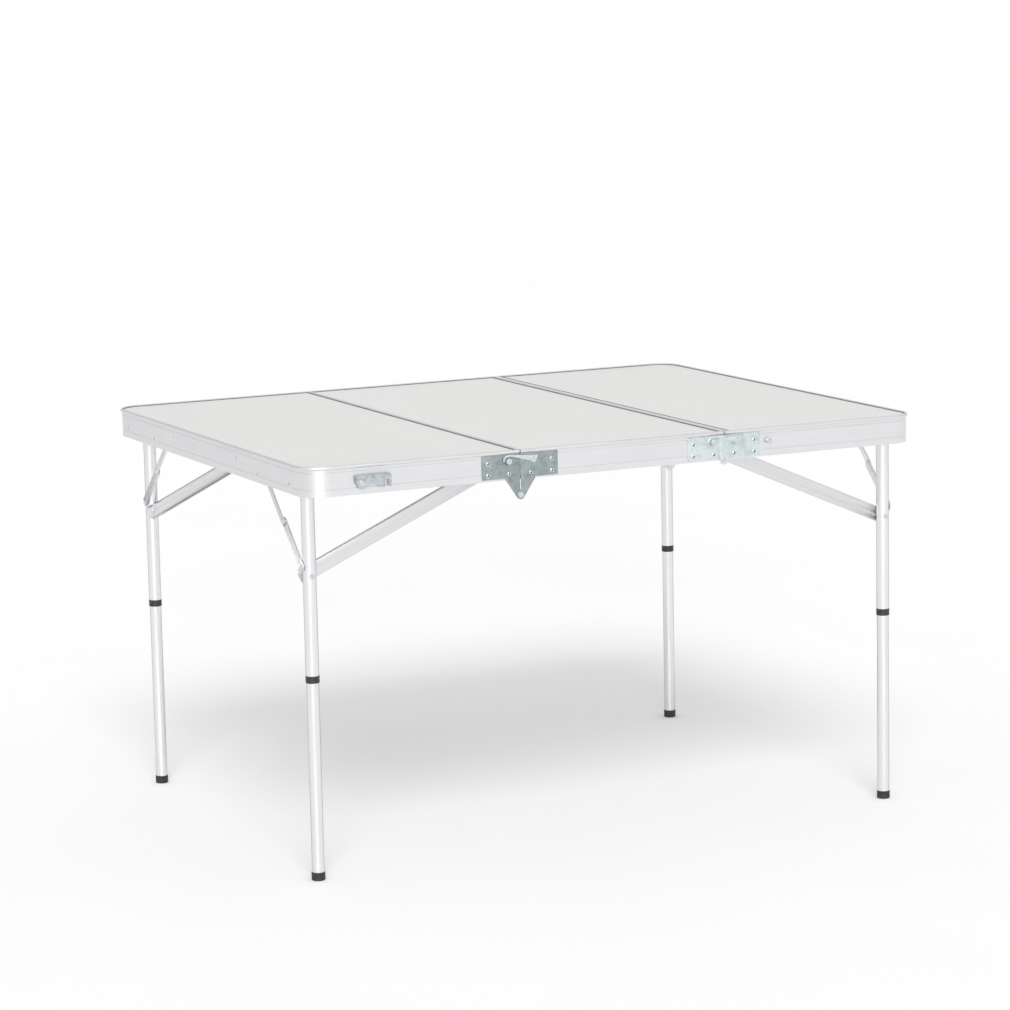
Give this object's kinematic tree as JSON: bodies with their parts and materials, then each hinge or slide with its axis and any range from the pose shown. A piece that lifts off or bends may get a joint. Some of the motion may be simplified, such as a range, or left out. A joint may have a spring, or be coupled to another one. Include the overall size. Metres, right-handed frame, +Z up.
{
  "type": "folding picnic table",
  "caption": "Folding camping table: three hinged trays with pale laminate tops in aluminium rails fold into a flat case; telescopic legs with channel braces, struts, hooks and clasps.",
  "frame": {"origin": "On the floor, under the centre of the table top", "axes": "+X along the table from the left to the right end panel, +Y from the front to the back, +Z up"},
  "size_m": [1.16, 0.9212, 0.7],
  "materials": {
    "laminate_board": "pale grey satin laminate on fibreboard",
    "aluminium": "satin anodised extrusion",
    "galvanised_steel": "zinc plated sheet",
    "plated_rivet": "plated steel",
    "black_plastic": "moulded, matt",
    "black_rubber": "moulded, matt"
  },
  "bodies": {
    "middle_panel": {"middle_tabletop": "laminate_board", "middle_front_rail": "aluminium", "middle_back_rail": "aluminium", "middle_seam_rails": "aluminium", "left_hinge_middle_leaves": "galvanised_steel", "right_hinge_middle_leaves": "galvanised_steel", "hinge_pins": "plated_rivet", "middle_panel_rivets": "plated_rivet"},
    "left_panel": {"left_tabletop": "laminate_board", "left_edge_rail": "aluminium", "left_seam_rail": "aluminium", "left_hinge_outer_leaves": "galvanised_steel", "left_panel_rivets": "plated_rivet", "left_leg_brackets": "galvanised_steel", "left_leg_pins": "plated_rivet"},
    "right_panel": {"right_tabletop": "laminate_board", "right_edge_rail": "aluminium", "right_seam_rail": "aluminium", "right_hinge_outer_leaves": "galvanised_steel", "right_panel_rivets": "plated_rivet", "right_leg_brackets": "galvanised_steel", "right_leg_pins": "plated_rivet"},
    "left_front_leg": {"left_front_leg_upper": "aluminium", "left_front_leg_brace": "aluminium", "left_front_leg_collar": "black_plastic", "left_front_leg_rivets": "plated_rivet"},
    "left_front_extension": {"left_front_leg_lower": "aluminium", "left_front_leg_foot": "black_rubber"},
    "left_front_strut_top": {"left_front_strut_upper": "galvanised_steel"},
    "left_front_strut_foot": {"left_front_strut_lower": "aluminium"},
    "left_back_leg": {"left_back_leg_upper": "aluminium", "left_back_leg_brace": "aluminium", "left_back_leg_collar": "black_plastic", "left_back_leg_rivets": "plated_rivet"},
    "left_back_extension": {"left_back_leg_lower": "aluminium", "left_back_leg_foot": "black_rubber"},
    "left_back_strut_top": {"left_back_strut_upper": "galvanised_steel"},
    "left_back_strut_foot": {"left_back_strut_lower": "aluminium"},
    "right_front_leg": {"right_front_leg_upper": "aluminium", "right_front_leg_brace": "aluminium", "right_front_leg_collar": "black_plastic", "right_front_leg_rivets": "plated_rivet"},
    "right_front_extension": {"right_front_leg_lower": "aluminium", "right_front_leg_foot": "black_rubber"},
    "right_front_strut_top": {"right_front_strut_upper": "galvanised_steel"},
    "right_front_strut_foot": {"right_front_strut_lower": "aluminium"},
    "right_back_leg": {"right_back_leg_upper": "aluminium", "right_back_leg_brace": "aluminium", "right_back_leg_collar": "black_plastic", "right_back_leg_rivets": "plated_rivet"},
    "right_back_extension": {"right_back_leg_lower": "aluminium", "right_back_leg_foot": "black_rubber"},
    "right_back_strut_top": {"right_back_strut_upper": "galvanised_steel"},
    "right_back_strut_foot": {"right_back_strut_lower": "aluminium"},
    "left_front_latch": {"left_front_hook": "galvanised_steel"},
    "right_front_latch": {"right_front_hook": "galvanised_steel"},
    "front_clasp_arm": {"front_clasp": "galvanised_steel"},
    "left_back_latch": {"left_back_hook": "galvanised_steel"},
    "right_back_latch": {"right_back_hook": "galvanised_steel"},
    "back_clasp_arm": {"back_clasp": "galvanised_steel"}
  },
  "joints": [
    {"name": "left_panel_fold", "type": "hinge", "parent": "middle_panel", "child": "left_panel", "pos_m": [-0.19333, 0, 0.624], "axis": [0, -1, 0], "range_deg": [0, 180]},
    {"name": "right_panel_fold", "type": "hinge", "parent": "middle_panel", "child": "right_panel", "pos_m": [0.19333, 0, 0.6495], "axis": [0, 1, 0], "range_deg": [0, 180]},
    {"name": "left_front_leg_fold", "type": "hinge", "parent": "left_panel", "child": "left_front_leg", "pos_m": [-0.549, -0.389, 0.665], "axis": [1, 0, 0], "range_deg": [0, 90]},
    {"name": "left_front_leg_slide", "type": "slide", "parent": "left_front_leg", "child": "left_front_extension", "axis": [0, 0, 1], "range_m": [0, 0.28]},
    {"name": "left_front_strut_top_pivot", "type": "hinge", "parent": "left_panel", "child": "left_front_strut_top", "pos_m": [-0.549, -0.247, 0.665], "axis": [-1, 0, 0], "range_deg": [0, 43.97]},
    {"name": "left_front_strut_leg_pivot", "type": "hinge", "parent": "left_front_leg", "child": "left_front_strut_foot", "pos_m": [-0.549, -0.389, 0.528], "axis": [1, 0, 0], "range_deg": [0, 46.03]},
    {"name": "left_back_leg_fold", "type": "hinge", "parent": "left_panel", "child": "left_back_leg", "pos_m": [-0.5365, 0.389, 0.665], "axis": [-0.9994, -0.0349, 0], "range_deg": [0, 90]},
    {"name": "left_back_leg_slide", "type": "slide", "parent": "left_back_leg", "child": "left_back_extension", "axis": [0, 0, 1], "range_m": [0, 0.28]},
    {"name": "left_back_strut_top_pivot", "type": "hinge", "parent": "left_panel", "child": "left_back_strut_top", "pos_m": [-0.53154, 0.24709, 0.665], "axis": [0.9994, 0.0349, 0], "range_deg": [0, 43.97]},
    {"name": "left_back_strut_leg_pivot", "type": "hinge", "parent": "left_back_leg", "child": "left_back_strut_foot", "pos_m": [-0.5365, 0.389, 0.528], "axis": [-0.9994, -0.0349, 0], "range_deg": [0, 46.03]},
    {"name": "right_front_leg_fold", "type": "hinge", "parent": "right_panel", "child": "right_front_leg", "pos_m": [0.549, -0.389, 0.665], "axis": [1, 0, 0], "range_deg": [0, 90]},
    {"name": "right_front_leg_slide", "type": "slide", "parent": "right_front_leg", "child": "right_front_extension", "axis": [0, 0, 1], "range_m": [0, 0.28]},
    {"name": "right_front_strut_top_pivot", "type": "hinge", "parent": "right_panel", "child": "right_front_strut_top", "pos_m": [0.549, -0.247, 0.665], "axis": [-1, 0, 0], "range_deg": [0, 43.97]},
    {"name": "right_front_strut_leg_pivot", "type": "hinge", "parent": "right_front_leg", "child": "right_front_strut_foot", "pos_m": [0.549, -0.389, 0.528], "axis": [1, 0, 0], "range_deg": [0, 46.03]},
    {"name": "right_back_leg_fold", "type": "hinge", "parent": "right_panel", "child": "right_back_leg", "pos_m": [0.5365, 0.389, 0.665], "axis": [-0.9994, 0.0349, 0], "range_deg": [0, 90]},
    {"name": "right_back_leg_slide", "type": "slide", "parent": "right_back_leg", "child": "right_back_extension", "axis": [0, 0, 1], "range_m": [0, 0.28]},
    {"name": "right_back_strut_top_pivot", "type": "hinge", "parent": "right_panel", "child": "right_back_strut_top", "pos_m": [0.53154, 0.24709, 0.665], "axis": [0.9994, -0.0349, 0], "range_deg": [0, 43.97]},
    {"name": "right_back_strut_leg_pivot", "type": "hinge", "parent": "right_back_leg", "child": "right_back_strut_foot", "pos_m": [0.5365, 0.389, 0.528], "axis": [-0.9994, 0.0349, 0], "range_deg": [0, 46.03]},
    {"name": "left_front_hook_turn", "type": "hinge", "parent": "middle_panel", "child": "left_front_latch", "pos_m": [-0.17033, -0.456, 0.682], "axis": [0, 1, 0], "range_deg": [0, 180]},
    {"name": "right_front_hook_turn", "type": "hinge", "parent": "right_panel", "child": "right_front_latch", "pos_m": [0.21633, -0.456, 0.682], "axis": [0, 1, 0], "range_deg": [0, 180]},
    {"name": "left_back_hook_turn", "type": "hinge", "parent": "middle_panel", "child": "left_back_latch", "pos_m": [-0.17033, 0.456, 0.682], "axis": [0, 1, 0], "range_deg": [0, 180]},
    {"name": "right_back_hook_turn", "type": "hinge", "parent": "right_panel", "child": "right_back_latch", "pos_m": [0.21633, 0.456, 0.682], "axis": [0, 1, 0], "range_deg": [0, 180]},
    {"name": "front_clasp_turn", "type": "hinge", "parent": "left_panel", "child": "front_clasp_arm", "pos_m": [-0.48, -0.456, 0.668], "axis": [0, 1, 0], "range_deg": [0, 107.34]},
    {"name": "back_clasp_turn", "type": "hinge", "parent": "left_panel", "child": "back_clasp_arm", "pos_m": [-0.48, 0.456, 0.668], "axis": [0, 1, 0], "range_deg": [0, 107.34]}
  ],
  "couplings": [
    {"joint": "left_front_leg_fold", "follows": "left_panel_fold", "ratio": 0.5},
    {"joint": "left_front_leg_slide", "follows": "left_panel_fold", "m_per_rad": 0.08912},
    {"joint": "left_front_strut_top_pivot", "follows": "left_panel_fold", "ratio": 0.24429},
    {"joint": "left_front_strut_leg_pivot", "follows": "left_panel_fold", "ratio": 0.2557},
    {"joint": "left_back_leg_fold", "follows": "left_panel_fold", "ratio": 0.5},
    {"joint": "left_back_leg_slide", "follows": "left_panel_fold", "m_per_rad": 0.08912},
    {"joint": "left_back_strut_top_pivot", "follows": "left_panel_fold", "ratio": 0.24429},
    {"joint": "left_back_strut_leg_pivot", "follows": "left_panel_fold", "ratio": 0.2557},
    {"joint": "right_front_leg_fold", "follows": "right_panel_fold", "ratio": 0.5},
    {"joint": "right_front_leg_slide", "follows": "right_panel_fold", "m_per_rad": 0.08912},
    {"joint": "right_front_strut_top_pivot", "follows": "right_panel_fold", "ratio": 0.24429},
    {"joint": "right_front_strut_leg_pivot", "follows": "right_panel_fold", "ratio": 0.2557},
    {"joint": "right_back_leg_fold", "follows": "right_panel_fold", "ratio": 0.5},
    {"joint": "right_back_leg_slide", "follows": "right_panel_fold", "m_per_rad": 0.08912},
    {"joint": "right_back_strut_top_pivot", "follows": "right_panel_fold", "ratio": 0.24429},
    {"joint": "right_back_strut_leg_pivot", "follows": "right_panel_fold", "ratio": 0.2557},
    {"joint": "left_front_hook_turn", "follows": "left_panel_fold", "ratio": 1},
    {"joint": "right_front_hook_turn", "follows": "right_panel_fold", "ratio": 1},
    {"joint": "left_back_hook_turn", "follows": "left_panel_fold", "ratio": 1},
    {"joint": "right_back_hook_turn", "follows": "right_panel_fold", "ratio": 1}
  ]
}
